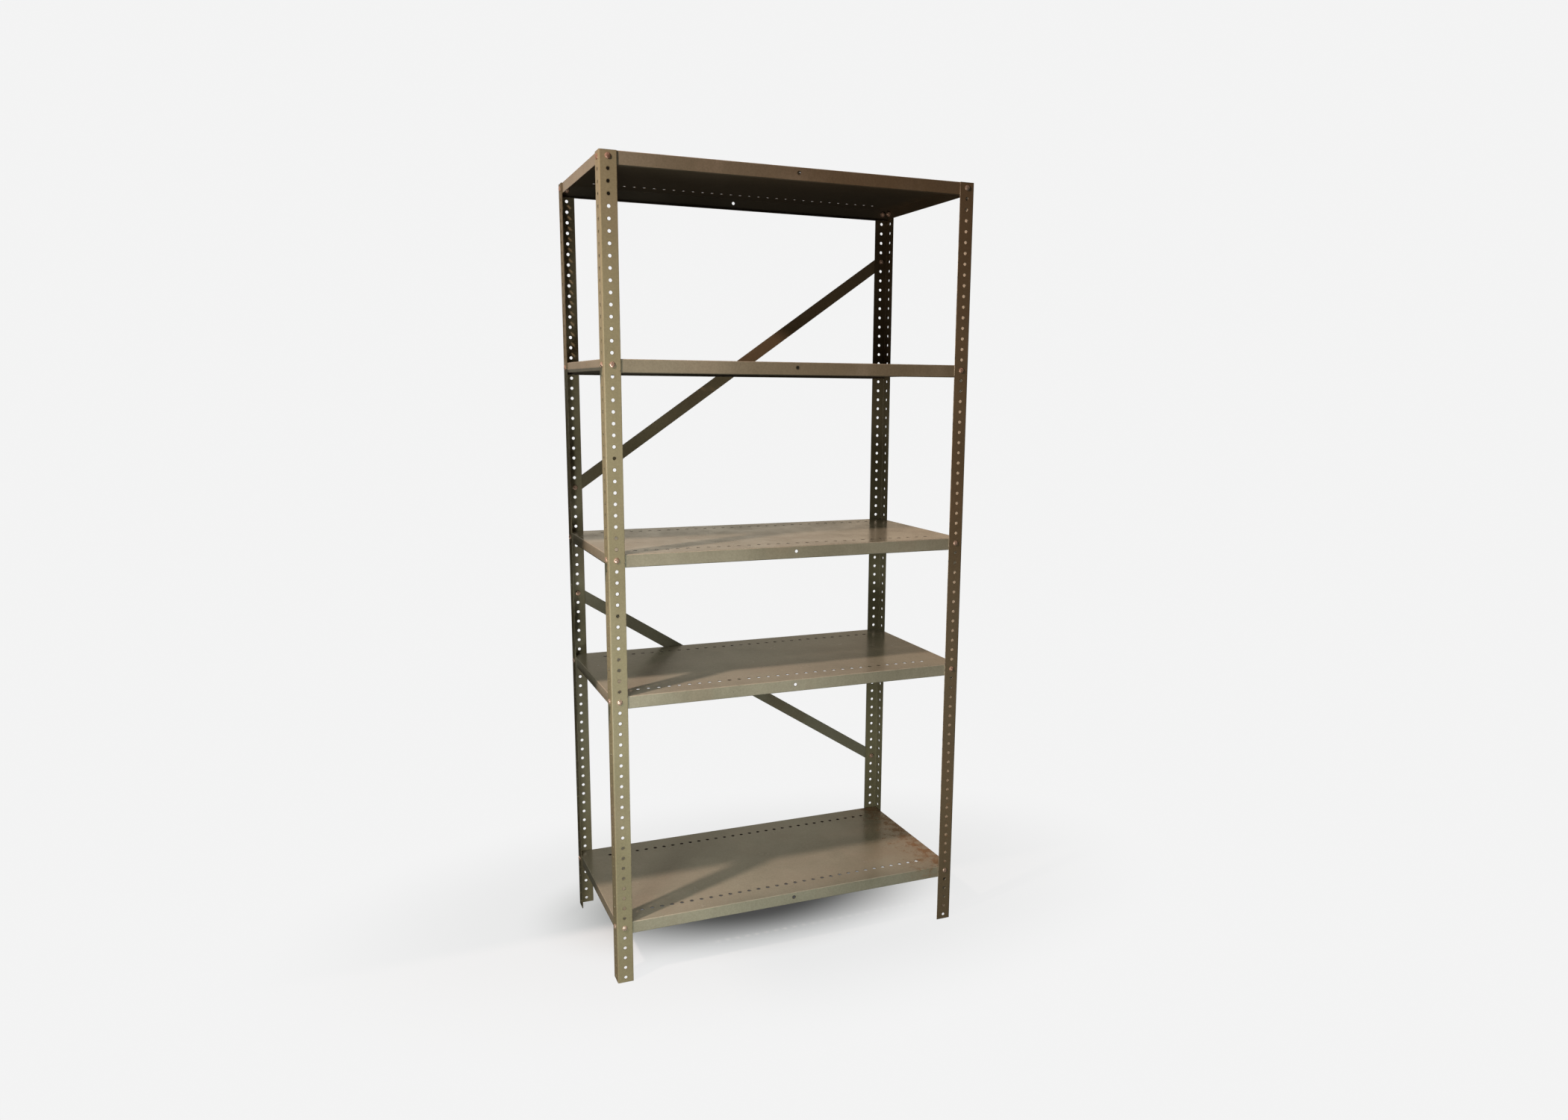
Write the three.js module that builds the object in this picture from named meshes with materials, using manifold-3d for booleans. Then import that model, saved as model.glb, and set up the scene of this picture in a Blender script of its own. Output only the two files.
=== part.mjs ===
// Bolted steel shelving unit: four perforated angle posts, five box-formed shelves,
// two flat sway braces across the back, and the bolts and nuts that hold them together.
// Millimetres, +Z up, front facing -Y, origin on the floor at the middle of the unit.
import * as THREE from "three";
import { mergeVertices } from "three/addons/utils/BufferGeometryUtils.js";
import Module from "manifold-3d";

// Overall size, over the outer faces of the posts.
const WIDTH = 914.4;
const DEPTH = 457.2;
const HEIGHT = 1905;
const GAP = 0.3; // clearance between touching pieces

// Posts: equal angle with a column of holes along the middle of both flanges.
const POST_FLANGE = 38.1;
const POST_SHEET = 2;
const POST_BEND = 3; // outer radius of the bend
const HOLE_PITCH = 25.4;
const FIRST_HOLE = HOLE_PITCH / 2;
const HOLE_EDGE = 19.05; // hole column to the post's corner
const HOLE_DIAMETER = 9;
const HOLE_SIDES = 6;

// Shelves: a flat deck with its four edges turned down.
const SHELF_SHEET = 1.2;
const SHELF_SIDE_FLANGE = 25;
const SHELF_FRONT_FLANGE = 30;
const SHELF_LIP = 9; // inward return along the front and rear flanges
const SHELF_CORNER = 4; // outer radius of its four corners
const DECK_ABOVE_BOLT = HOLE_PITCH / 2;
const SHELF_LEVELS = [5, 27, 40, 57, 74]; // post hole that each shelf is bolted at

// Braces: a flat strap behind the rear posts, from a hole on the left to one on the right.
const BRACE_WIDTH = 30;
const BRACE_SHEET = 2;
const BRACE_HOLES = { upper: [45, 69], lower: [34, 12] };

// Bolts: a slotted round head, a short shank and a hexagon nut.
const HEAD_DIAMETER = 13;
const HEAD_HEIGHT = 3.2;
const SHANK_DIAMETER = 6.35;
const SHANK_LENGTH = 13;
const NUT_ACROSS_CORNERS = 12.6;
const NUT_HEIGHT = 5.2;
const BOLT_SIDES = 6;

const BRACE_STACK = GAP + BRACE_SHEET; // how far a brace stands behind its post

const holeHeight = (hole) => FIRST_HOLE + hole * HOLE_PITCH;
const deckHeight = (hole) => holeHeight(hole) + DECK_ABOVE_BOLT;

const paint = new THREE.MeshStandardMaterial({ color: 0x6f6a55, roughness: 0.45, metalness: 0.1 });
const deckPaint = new THREE.MeshStandardMaterial({ color: 0x77705f, roughness: 0.4, metalness: 0.1 });
const bracePaint = new THREE.MeshStandardMaterial({ color: 0x55503c, roughness: 0.5, metalness: 0.1 });
const plating = new THREE.MeshStandardMaterial({ color: 0xc08a5a, roughness: 0.35, metalness: 0.9 });

const wasm = await Module();
wasm.setup();

function solid(geometry) {
  geometry.deleteAttribute("normal");
  geometry.deleteAttribute("uv");
  const merged = mergeVertices(geometry, 1e-4);
  return new wasm.Manifold(new wasm.Mesh({
    numProp: 3,
    vertProperties: merged.attributes.position.array,
    triVerts: new Uint32Array(merged.index.array),
  }));
}

function geometryOf(made) {
  const { vertProperties, triVerts } = made.getMesh();
  const geometry = new THREE.BufferGeometry();
  geometry.setAttribute("position", new THREE.BufferAttribute(vertProperties, 3));
  geometry.setIndex(new THREE.BufferAttribute(triVerts, 1));
  geometry.computeVertexNormals();
  return geometry;
}

const joined = (solids) => solids.reduce((whole, piece) => whole.add(piece));

// A box from its lowest to its highest corner.
function block(low, high) {
  const size = high.map((value, axis) => value - low[axis]);
  const middle = high.map((value, axis) => (value + low[axis]) / 2);
  return solid(new THREE.BoxGeometry(...size).translate(...middle));
}

// A prism that cuts one bolt hole, with its axis along X or Y through the given point.
function drill(axis, point) {
  const radius = HOLE_DIAMETER / 2;
  const geometry = new THREE.CylinderGeometry(radius, radius, 4 * POST_SHEET, HOLE_SIDES);
  if (axis === "x") geometry.rotateZ(Math.PI / 2);
  return solid(geometry.translate(...point));
}

// The angle's section, with its corner at the origin and its flanges along +X and +Y.
function angleSection() {
  const inner = POST_BEND - POST_SHEET;
  const shape = new THREE.Shape();
  shape.moveTo(POST_FLANGE, 0);
  shape.lineTo(POST_FLANGE, POST_SHEET);
  shape.lineTo(POST_BEND, POST_SHEET);
  shape.absarc(POST_BEND, POST_BEND, inner, -Math.PI / 2, -Math.PI, true);
  shape.lineTo(POST_SHEET, POST_FLANGE);
  shape.lineTo(0, POST_FLANGE);
  shape.lineTo(0, POST_BEND);
  shape.absarc(POST_BEND, POST_BEND, POST_BEND, Math.PI, 1.5 * Math.PI, false);
  shape.closePath();
  return shape;
}

function postGeometry() {
  const angle = solid(new THREE.ExtrudeGeometry(angleSection(), {
    depth: HEIGHT, bevelEnabled: false, curveSegments: 2,
  }));
  const cutters = [];
  for (let hole = 0; holeHeight(hole) < HEIGHT; hole++) {
    cutters.push(drill("y", [HOLE_EDGE, POST_SHEET / 2, holeHeight(hole)]));
    cutters.push(drill("x", [POST_SHEET / 2, HOLE_EDGE, holeHeight(hole)]));
  }
  return geometryOf(angle.subtract(joined(cutters)));
}

// A block with round upright corners, centred on the Z axis.
function roundedBlock(halfX, halfY, low, high, radius) {
  const x = halfX - radius;
  const y = halfY - radius;
  const shape = new THREE.Shape();
  shape.absarc(x, y, radius, 0, Math.PI / 2, false);
  shape.absarc(-x, y, radius, Math.PI / 2, Math.PI, false);
  shape.absarc(-x, -y, radius, Math.PI, 1.5 * Math.PI, false);
  shape.absarc(x, -y, radius, 1.5 * Math.PI, 2 * Math.PI, false);
  shape.closePath();
  return solid(new THREE.ExtrudeGeometry(shape, {
    depth: high - low, bevelEnabled: false, curveSegments: 2,
  }).translate(0, 0, low));
}

// A shelf with its deck's upper face at z = 0 and its middle on the Z axis.
function shelfGeometry() {
  const x = WIDTH / 2 - POST_SHEET - GAP;
  const y = DEPTH / 2 - POST_SHEET - GAP;
  const blank = roundedBlock(x, y, -SHELF_FRONT_FLANGE, 0, SHELF_CORNER);
  const hollow = roundedBlock(
    x - SHELF_SHEET, y - SHELF_SHEET, -SHELF_FRONT_FLANGE + SHELF_SHEET, -SHELF_SHEET,
    SHELF_CORNER - SHELF_SHEET,
  );
  const underside = block(
    [-x - 1, -y + SHELF_LIP, -SHELF_FRONT_FLANGE - 1],
    [x + 1, y - SHELF_LIP, -SHELF_SIDE_FLANGE],
  );
  const openEnds = block(
    [-x + SHELF_SHEET, -y + SHELF_LIP, -SHELF_FRONT_FLANGE - 1],
    [x - SHELF_SHEET, y - SHELF_LIP, -SHELF_SHEET],
  );
  const cutters = [hollow, underside, openEnds];
  for (const side of [-1, 1]) {
    cutters.push(drill("y", [0, side * y, -DECK_ABOVE_BOLT]));
    for (const end of [-1, 1]) {
      const holeX = end * (WIDTH / 2 - HOLE_EDGE);
      const holeY = side * (DEPTH / 2 - HOLE_EDGE);
      cutters.push(drill("y", [holeX, side * y, -DECK_ABOVE_BOLT]));
      cutters.push(drill("x", [end * x, holeY, -DECK_ABOVE_BOLT]));
    }
  }
  return geometryOf(blank.subtract(joined(cutters)));
}

// A strap with round ends lying along X in the XZ plane, and a hole at each end.
function braceGeometry(span) {
  const half = span / 2;
  const radius = BRACE_WIDTH / 2;
  const shape = new THREE.Shape();
  shape.moveTo(-half, -radius);
  shape.lineTo(half, -radius);
  shape.absarc(half, 0, radius, -Math.PI / 2, Math.PI / 2, false);
  shape.lineTo(-half, radius);
  shape.absarc(-half, 0, radius, Math.PI / 2, 1.5 * Math.PI, false);
  shape.closePath();
  for (const end of [-half, half]) {
    const hole = new THREE.Path();
    hole.absarc(end, 0, HOLE_DIAMETER / 2, 0, 2 * Math.PI, true);
    shape.holes.push(hole);
  }
  return new THREE.ExtrudeGeometry(shape, {
    depth: BRACE_SHEET, bevelEnabled: false, curveSegments: 4,
  }).rotateX(Math.PI / 2);
}

// A bolt with its nut run on, its head towards -Y and the face under the head at y = 0.
function boltGeometry(grip) {
  const head = HEAD_DIAMETER / 2;
  const shank = SHANK_DIAMETER / 2;
  const profile = [
    [0, -HEAD_HEIGHT], [0.7 * head, -0.75 * HEAD_HEIGHT], [head, 0],
    [shank, 0], [shank, SHANK_LENGTH], [0, SHANK_LENGTH],
  ].map(([r, y]) => new THREE.Vector2(r, y));
  const bolt = solid(new THREE.LatheGeometry(profile, BOLT_SIDES));
  const nut = solid(new THREE.CylinderGeometry(
    NUT_ACROSS_CORNERS / 2, NUT_ACROSS_CORNERS / 2, NUT_HEIGHT, 6,
  ).translate(0, grip + NUT_HEIGHT / 2, 0));
  return geometryOf(bolt.add(nut));
}

const unit = new THREE.Group();

function add(name, geometry, material, position, turnZ = 0) {
  const mesh = new THREE.Mesh(geometry, material);
  mesh.name = name;
  mesh.position.set(...position);
  mesh.rotation.z = turnZ;
  unit.add(mesh);
  return mesh;
}

// The four corners: the side of the unit that each is on, and the turn that brings the
// angle's corner, which opens towards +X and +Y, to the unit's own corner.
const CORNERS = [
  { name: "front_left", x: -1, y: -1, turn: 0 },
  { name: "front_right", x: 1, y: -1, turn: Math.PI / 2 },
  { name: "rear_right", x: 1, y: 1, turn: Math.PI },
  { name: "rear_left", x: -1, y: 1, turn: -Math.PI / 2 },
];

function addPosts() {
  const geometry = postGeometry();
  for (const corner of CORNERS) {
    const place = [corner.x * WIDTH / 2, corner.y * DEPTH / 2, 0];
    add(`${corner.name}_post`, geometry, paint, place, corner.turn);
  }
}

function addShelves() {
  const geometry = shelfGeometry();
  SHELF_LEVELS.forEach((hole, index) =>
    add(`shelf_${index + 1}`, geometry, deckPaint, [0, 0, deckHeight(hole)]));
}

function addBraces() {
  const reach = WIDTH - 2 * HOLE_EDGE;
  for (const [name, [left, right]] of Object.entries(BRACE_HOLES)) {
    const rise = holeHeight(right) - holeHeight(left);
    const middle = (holeHeight(right) + holeHeight(left)) / 2;
    const back = DEPTH / 2 + BRACE_STACK;
    const strap = braceGeometry(Math.hypot(reach, rise));
    const brace = add(`${name}_brace`, strap, bracePaint, [0, back, middle]);
    brace.rotation.y = -Math.atan2(rise, reach);
  }
}

// The bolts of one shelf corner: one through the front or rear flange, one through the side.
function addShelfBolts() {
  const geometry = boltGeometry(GAP + POST_SHEET + GAP + SHELF_SHEET + GAP);
  SHELF_LEVELS.forEach((hole, index) => {
    for (const corner of CORNERS) {
      const z = holeHeight(hole);
      const inX = corner.x * (WIDTH / 2 - HOLE_EDGE);
      const inY = corner.y * (DEPTH / 2 - HOLE_EDGE);
      const outX = corner.x * (WIDTH / 2 + GAP);
      const outY = corner.y * (DEPTH / 2 + GAP);
      const name = `bolt_${index + 1}_${corner.name}`;
      add(`${name}_face`, geometry, plating, [inX, outY, z], corner.y < 0 ? 0 : Math.PI);
      add(`${name}_side`, geometry, plating, [outX, inY, z], corner.x * Math.PI / 2);
    }
  });
}

function addBraceBolts() {
  const geometry = boltGeometry(GAP + BRACE_SHEET + GAP + POST_SHEET + GAP);
  for (const [name, holes] of Object.entries(BRACE_HOLES)) {
    holes.forEach((hole, end) => {
      const x = (end === 0 ? -1 : 1) * (WIDTH / 2 - HOLE_EDGE);
      const y = DEPTH / 2 + BRACE_STACK + GAP;
      const side = end === 0 ? "left" : "right";
      add(`${name}_brace_bolt_${side}`, geometry, plating, [x, y, holeHeight(hole)], Math.PI);
    });
  }
}

addPosts();
addShelves();
addBraces();
addShelfBolts();
addBraceBolts();

export default unit;
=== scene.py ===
"""Bolted steel shelving unit: punched angle posts, folded decks, sway braces and slotted bolts."""
import math
import random

import bmesh
import bpy
import numpy as np
from mathutils import Euler, Matrix, Vector
from mathutils.geometry import delaunay_2d_cdt


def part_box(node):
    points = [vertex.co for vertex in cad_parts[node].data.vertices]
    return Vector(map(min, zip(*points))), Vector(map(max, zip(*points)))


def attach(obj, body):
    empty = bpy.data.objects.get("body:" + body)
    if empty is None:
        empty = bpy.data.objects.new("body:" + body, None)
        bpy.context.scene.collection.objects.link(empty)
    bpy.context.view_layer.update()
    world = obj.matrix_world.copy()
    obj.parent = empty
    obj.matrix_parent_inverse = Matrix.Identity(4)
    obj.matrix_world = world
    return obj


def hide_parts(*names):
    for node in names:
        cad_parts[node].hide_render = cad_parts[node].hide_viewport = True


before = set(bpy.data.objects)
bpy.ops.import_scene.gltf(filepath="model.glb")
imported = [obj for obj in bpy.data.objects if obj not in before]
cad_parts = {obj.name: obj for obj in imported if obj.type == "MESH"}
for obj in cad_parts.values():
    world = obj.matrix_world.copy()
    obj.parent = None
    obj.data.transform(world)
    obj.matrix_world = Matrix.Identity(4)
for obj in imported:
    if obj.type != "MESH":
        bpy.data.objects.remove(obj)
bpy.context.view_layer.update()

MM = 0.001
INCH = 25.4 * MM
QUARTER = math.pi / 2

# Posts: the angle's flange, sheet, outer bend radius and hole column, as in the solids.
POST_LOW, POST_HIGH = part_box("front_left_post")
FLANGE = POST_HIGH.x - POST_LOW.x
HEIGHT = POST_HIGH.z - POST_LOW.z
HALF_WIDTH = -POST_LOW.x
HALF_DEPTH = -POST_LOW.y
POST_SHEET = 2 * MM
POST_BEND = 3 * MM
POST_BEND_STEPS = 6
POST_HOLE_SIDES = 20
HOLE_INSET = FLANGE / 2
HOLE_RADIUS = 3.9 * MM

# Shelves: sheet, bend radius, flange heights, lip, and the rows of small holes.
SHELF_LOW, SHELF_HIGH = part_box("shelf_1")
SHELF_X = SHELF_HIGH.x
SHELF_Y = SHELF_HIGH.y
SHELF_FLANGE = SHELF_HIGH.z - SHELF_LOW.z
SHELF_SIDE_FLANGE = 25 * MM
SHELF_SHEET = 1.2 * MM
SHELF_BEND = 2 * MM
SHELF_LIP = 9 * MM
DECK_ABOVE_BOLT = INCH / 2
ROW_INSET = 2.2 * INCH
ROW_HOLES = 31
ROW_HOLE_RADIUS = 4.5 * MM
SHELF_HOLE_SIDES = 16
SHELF_BEND_STEPS = 4
DECK_CELLS_X = 24
DECK_CELLS_Y = 12
DECK_CELL_SHIFT = 2.3 * MM  # keeps the cross creases off the rows of holes

# The decks' sag in the middle, the share of it that comes and goes in waves, and those waves'
# radians per metre along x and y.
DECK_SAG = 1.1 * MM
RIPPLE = 0.25
LONG_WAVE = (17, 9)
SHORT_WAVE = (-6, 21)

# Braces: flat straps with round ends, bowed a little towards the front.
BRACE_SHEET = 2 * MM
BRACE_WIDTH = 30 * MM
BRACE_BOW = 0.8 * MM
BRACE_END_STEPS = 14
BRACE_CUTS = 32
BRACE_HOLE_SIDES = 24

# How far in each sheet's edge is rounded, and how far in its paint is worn.
THICK_RIM = 0.3 * MM
THICK_WEAR = 2.2 * MM
THIN_RIM = 0.25 * MM
THIN_WEAR = 2.0 * MM

# Folding: what counts as one point, the step that normals are measured over, and the cosine down
# to which a rim edge's normal is blended with its neighbour's.
CREASE_TOLERANCE = 1e-7
NORMAL_STEP = 1e-5
SOFT_CORNER = 0.9

# Bolt heads: a dome on a short straight edge, with a slot across it.
HEAD_RADIUS = 6.5 * MM
HEAD_HEIGHT = 3.2 * MM
HEAD_CHAMFER = 0.15 * MM
DOME_BASE = 0.45 * MM
EDGE_TOP = 0.5 * MM
EDGE_FOOT = 0.12 * MM
DOME_STEPS = 9
SCREW_SIDES = 40
SLOT_WIDTH = 1.5 * MM
SLOT_DEPTH = 1.5 * MM
SLOT_REACH = 1.2
SOFT_EDGE = 0.12 * MM
BEVEL_ANGLE = 50
SHARP_ANGLE = 32
SEAT_GAP = 0.25 * MM

# Shanks: a short shoulder, a plain stretch through the grip, then threads whose crests and roots
# lie at shares of the pitch.
SHANK_RADIUS = 3.1 * MM
SHANK_LENGTH = 13 * MM
SHOULDER_EXTRA = 0.05 * MM
SHOULDER_LENGTH = 0.3 * MM
THREAD_PITCH = 1.27 * MM
THREAD_DEPTH = 0.55 * MM
CREST_START = 0.1
CREST_END = 0.25
ROOT = 0.62
LAST_THREAD = 1.2
TIP_CHAMFER = 0.8 * MM

# Nuts: half the width across flats, and how their bores, rims and corners are chamfered.
NUT_FLAT = 5.45 * MM
NUT_HEIGHT = 5.2 * MM
NUT_SIDES = 60
BORE_GAP = 0.03 * MM
BORE_CHAMFER = 0.45 * MM
BORE_MOUTH = 0.5 * MM
RIM_INSET = 0.12 * MM
RIM_STEP = 0.01 * MM
RIM_DROP = 0.08 * MM
CORNER_CHAMFER = 0.55

# How far each kind of bolt reaches before its nut, and how its slot is turned.
SHELF_GRIP = POST_SHEET + SHELF_SHEET + 0.45 * MM
BRACE_GRIP = POST_SHEET + BRACE_SHEET + 0.6 * MM
SLOT_SEED = 7
SLOT_SPREAD = 0.6

# Each corner's side in x and in y, and the turn of its angle.
CORNERS = {
    "front_left": (-1, -1, 0),
    "front_right": (1, -1, QUARTER),
    "rear_right": (1, 1, 2 * QUARTER),
    "rear_left": (-1, 1, -QUARTER),
}


def rgb(red, green, blue):
    return (red, green, blue, 1.0)


# Paints of the front left post, the front right post, the rear posts and braces, and the decks. The
# front right post's darker brown is partly painted shade.
KHAKI = rgb(0.32, 0.305, 0.185)
KHAKI_DARK = rgb(0.265, 0.25, 0.148)
KHAKI_PALE = rgb(0.52, 0.48, 0.36)
PINKISH = rgb(0.36, 0.29, 0.20)
BROWN = rgb(0.185, 0.135, 0.076)
BROWN_DARK = rgb(0.15, 0.11, 0.062)
# Paler and greyer low down: painted for the whiter light there.
BROWN_LOW = rgb(0.19, 0.16, 0.10)
# Painted shade high up on the rear posts.
BROWN_HIGH_SHADE = rgb(0.09, 0.06, 0.03)
RUSTY = rgb(0.21, 0.135, 0.078)
OLIVE = rgb(0.25, 0.235, 0.14)
OLIVE_DARK = rgb(0.19, 0.175, 0.10)
OLIVE_DEEP = rgb(0.15, 0.142, 0.085)
# Paler and greyer low down on the braces: painted for the whiter light there.
OLIVE_GREY = rgb(0.25, 0.245, 0.175)
DECK_LIGHT = rgb(0.395, 0.395, 0.295)
DECK_DARK = rgb(0.295, 0.295, 0.215)
DECK_WARM = rgb(0.38, 0.325, 0.235)

# How deep the paint's peel, its rust pits and the plating's grain are.
PEEL_DEPTH = 0.05 * MM
PIT_DEPTH = 0.4 * MM
GRAIN_DEPTH = 0.06 * MM

# What lies on the paint or shows through it. The pale bend colour is also a painted highlight, and
# the dark grime colour is also painted shade under the decks and round their holes.
DUST = rgb(0.42, 0.39, 0.30)
BEND_WEAR_AND_SHEEN = rgb(0.56, 0.52, 0.40)
SCUFFED = rgb(0.5, 0.47, 0.38)
STEEL = rgb(0.24, 0.22, 0.19)
RUST = rgb(0.20, 0.085, 0.028)
RUST_LIGHT = rgb(0.36, 0.19, 0.075)
GRIME_AND_SHADE = rgb(0.045, 0.036, 0.022)

# Bolts: bright plating, dull plating, and the paler kind that some bolts have.
PLATED = rgb(0.88, 0.60, 0.46)
PLATED_DULL = rgb(0.55, 0.35, 0.24)
PLATED_PALE = rgb(0.74, 0.66, 0.54)

# Studio: its white, the floor's tones, one of them a painted shadow under the unit that the pool's
# scale and shift place, and the
# room that only the object sees: the wall's two tints, its strength for diffuse and for glossy rays,
# and the light everywhere else.
WHITE = rgb(0.9, 0.9, 0.9)
FLOOR_SHADOW = rgb(0.10, 0.10, 0.10)
FLOOR_FAR = rgb(0.80, 0.90, 0.92)
FLOOR_BOUNCE = rgb(0.11, 0.11, 0.11)
FLOOR_REACH = 30.0
SHADOW_POOL_SCALE = (2.2, 3.8, 1)
SHADOW_POOL_SHIFT = (0, -0.46, 0)
WARM = rgb(1.0, 0.89, 0.71)
WARMER = rgb(1.0, 0.74, 0.5)
WALL = (0.42, 0.52)
FILL = 0.014

# Lamps: place, aim, watts, colour, width and height.
HIGH_LAMP = ((-2.26, -1.09, 2.86), (-0.1, 0, 0.7), 74, (1.0, 0.73, 0.65), 0.17, 0.17)
NEAR_LAMP = ((-1.2, -1.22, 1.22), (0.1, 0, 1.1), 7.4, (1.0, 0.98, 0.95), 0.4, 0.5)
LOW_LAMP = ((-0.8, -1.6, 0.27), (0.15, -0.2, 0.05), 12, (1.0, 1.0, 0.95), 0.6, 0.3)
BACK_LAMP = ((1.5, 1.9, 1.9), (0, 0, 0.9), 6, (1.0, 0.97, 0.9), 1.2, 1.2)

# Flags: how far the side ones reach and stand off, and the front one's left, right, front, back
# and height.
FLAG_REACH = 1.5
FLAG_GAP = 0.02
FRONT_FLAG = (-1.25, -0.2, -1.21, -0.66, 1.5)

# Camera: sensor and lens in millimetres, shift, place, and turn in degrees.
CAMERA_SENSOR = 36
CAMERA_LENS = 25.09
CAMERA_SHIFT = (-0.0096, 0.0182)
CAMERA_PLACE = (-0.996, -2.625, 1.407)
CAMERA_TURN = (79.76, -0.44, -22.62)


def put_object(name, data):
    ob = bpy.data.objects.new(name, data)
    bpy.context.scene.collection.objects.link(ob)
    return ob


# ---------------------------------------------------------------- sheet metal

def circle(centre, radius, sides):
    """A hole's points, clockwise, so that its inside is off the sheet."""
    step = -2 * math.pi / sides
    return [(centre[0] + radius * math.cos(step * i), centre[1] + radius * math.sin(step * i))
            for i in range(sides)]


def inset(loop, distance):
    """The loop moved into the sheet: inwards on an outline, outwards on a hole."""
    points = np.array(loop)
    ahead = np.roll(points, -1, 0) - points
    ahead /= np.linalg.norm(ahead, axis=1)[:, None]
    left = np.stack([-ahead[:, 1], ahead[:, 0]], 1)
    before = np.roll(left, 1, 0)
    miter = left + before
    miter /= (1 + (left * before).sum(1))[:, None]
    return [tuple(p) for p in points + miter * distance]


def distance_to(points, loop):
    """Each point's distance to the closest side of a loop."""
    starts = np.array(loop)
    sides = np.roll(starts, -1, 0) - starts
    away = points[:, None] - starts[None]
    along = np.clip((away * sides).sum(2) / (sides ** 2).sum(1), 0, 1)
    return np.linalg.norm(away - along[..., None] * sides, axis=2).min(1)


def creases(loops, lines, rim, worn):
    """The points and edges that the triangles keep to: every loop, its rim, where its wear
    ends, and the given lines."""
    coords, edges = [], []
    for loop in loops:
        for ring in (loop, inset(loop, rim), inset(loop, worn)):
            start = len(coords)
            coords += ring
            edges += [(start + i, start + (i + 1) % len(ring)) for i in range(len(ring))]
    for a, b in lines:
        edges.append((len(coords), len(coords) + 1))
        coords += [a, b]
    return [Vector(c) for c in coords], edges


def flat_pattern(outline, holes, sides, lines, rim, worn):
    """Triangulates a flat sheet with round holes (x, y, radius), and gives each point its
    closeness to an edge, from 0 where the wear ends to 1."""
    loops = [outline] + [circle((x, y), radius, sides) for x, y, radius in holes]
    coords, edges = creases(loops, lines, rim, worn)
    verts, _, faces, _, _, _ = delaunay_2d_cdt(coords, edges, [], 0, CREASE_TOLERANCE)
    flat = np.array([v[:] for v in verts])
    tris = np.array([f for f in faces if len(f) == 3])

    middle = flat[tris].mean(1)
    keep = inside_loop(middle, outline)
    centres = np.array(holes)
    reach = np.linalg.norm(middle[:, None] - centres[None, :, :2], axis=2)
    keep &= (reach > centres[:, 2] * math.cos(math.pi / sides)).all(1)
    used, tris = np.unique(tris[keep], return_inverse=True)
    flat, tris = flat[used], tris.reshape(-1, 3)

    reach = np.linalg.norm(flat[:, None] - centres[None, :, :2], axis=2) - centres[:, 2]
    distance = np.minimum(reach.min(1), distance_to(flat, outline))
    return flat, tris, np.clip(1 - distance / worn, 0, 1)


def inside_loop(points, loop):
    """Which points are inside a closed loop, by counting crossings."""
    inside = np.zeros(len(points), bool)
    x, y = points[:, 0], points[:, 1]
    for (ax, ay), (bx, by) in zip(loop, loop[1:] + loop[:1]):
        if ay != by:
            inside ^= ((ay > y) != (by > y)) & (x < ax + (y - ay) * (bx - ax) / (by - ay))
    return inside


def unit(vectors):
    return vectors / np.maximum(np.linalg.norm(vectors, axis=-1, keepdims=True), 1e-12)


def rim_edges(tris):
    """The directed edges that only one triangle has."""
    directed = np.concatenate([tris[:, [0, 1]], tris[:, [1, 2]], tris[:, [2, 0]]])
    size = int(tris.max()) + 1
    forward = directed[:, 0] * size + directed[:, 1]
    backward = directed[:, 1] * size + directed[:, 0]
    return directed[~np.isin(forward, backward)]


def outer_normals(surface, u, v, thickness):
    """The outer face's normals, and whether the flat pattern's triangles face the other way."""
    zero = np.zeros(len(u))
    across = surface(u + NORMAL_STEP, v, zero) - surface(u - NORMAL_STEP, v, zero)
    along = surface(u, v + NORMAL_STEP, zero) - surface(u, v - NORMAL_STEP, zero)
    normal = unit(np.cross(across, along))
    outward = surface(u, v, zero) - surface(u, v, zero + thickness)
    turned = (normal * outward).sum() < 0
    return (-normal if turned else normal), turned


def wall_normals(outer, normal, rims):
    """The normals of the thin wall round a sheet: one for each rim point, and one for each end
    of each rim edge, which keeps the edge's own where the rim turns sharply."""
    a, b = rims[:, 0], rims[:, 1]
    wall = unit(np.cross(outer[b] - outer[a], normal[a] + normal[b]))
    total = np.zeros((len(outer), 3))
    np.add.at(total, a, wall)
    np.add.at(total, b, wall)
    total = unit(total)
    at_a = np.where((total[a] * wall).sum(1, keepdims=True) > SOFT_CORNER, total[a], wall)
    at_b = np.where((total[b] * wall).sum(1, keepdims=True) > SOFT_CORNER, total[b], wall)
    return total, at_a, at_b


def sheet_mesh(name, points, faces, normals, edge):
    mesh = bpy.data.meshes.new(name)
    mesh.from_pydata(points.tolist(), [], faces)
    mesh.polygons.foreach_set("use_smooth", [True] * len(mesh.polygons))
    mesh.attributes.new("edge", "FLOAT", "POINT").data.foreach_set("value", np.tile(edge, 2))
    mesh.normals_split_custom_set(normals.tolist())
    return mesh


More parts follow.
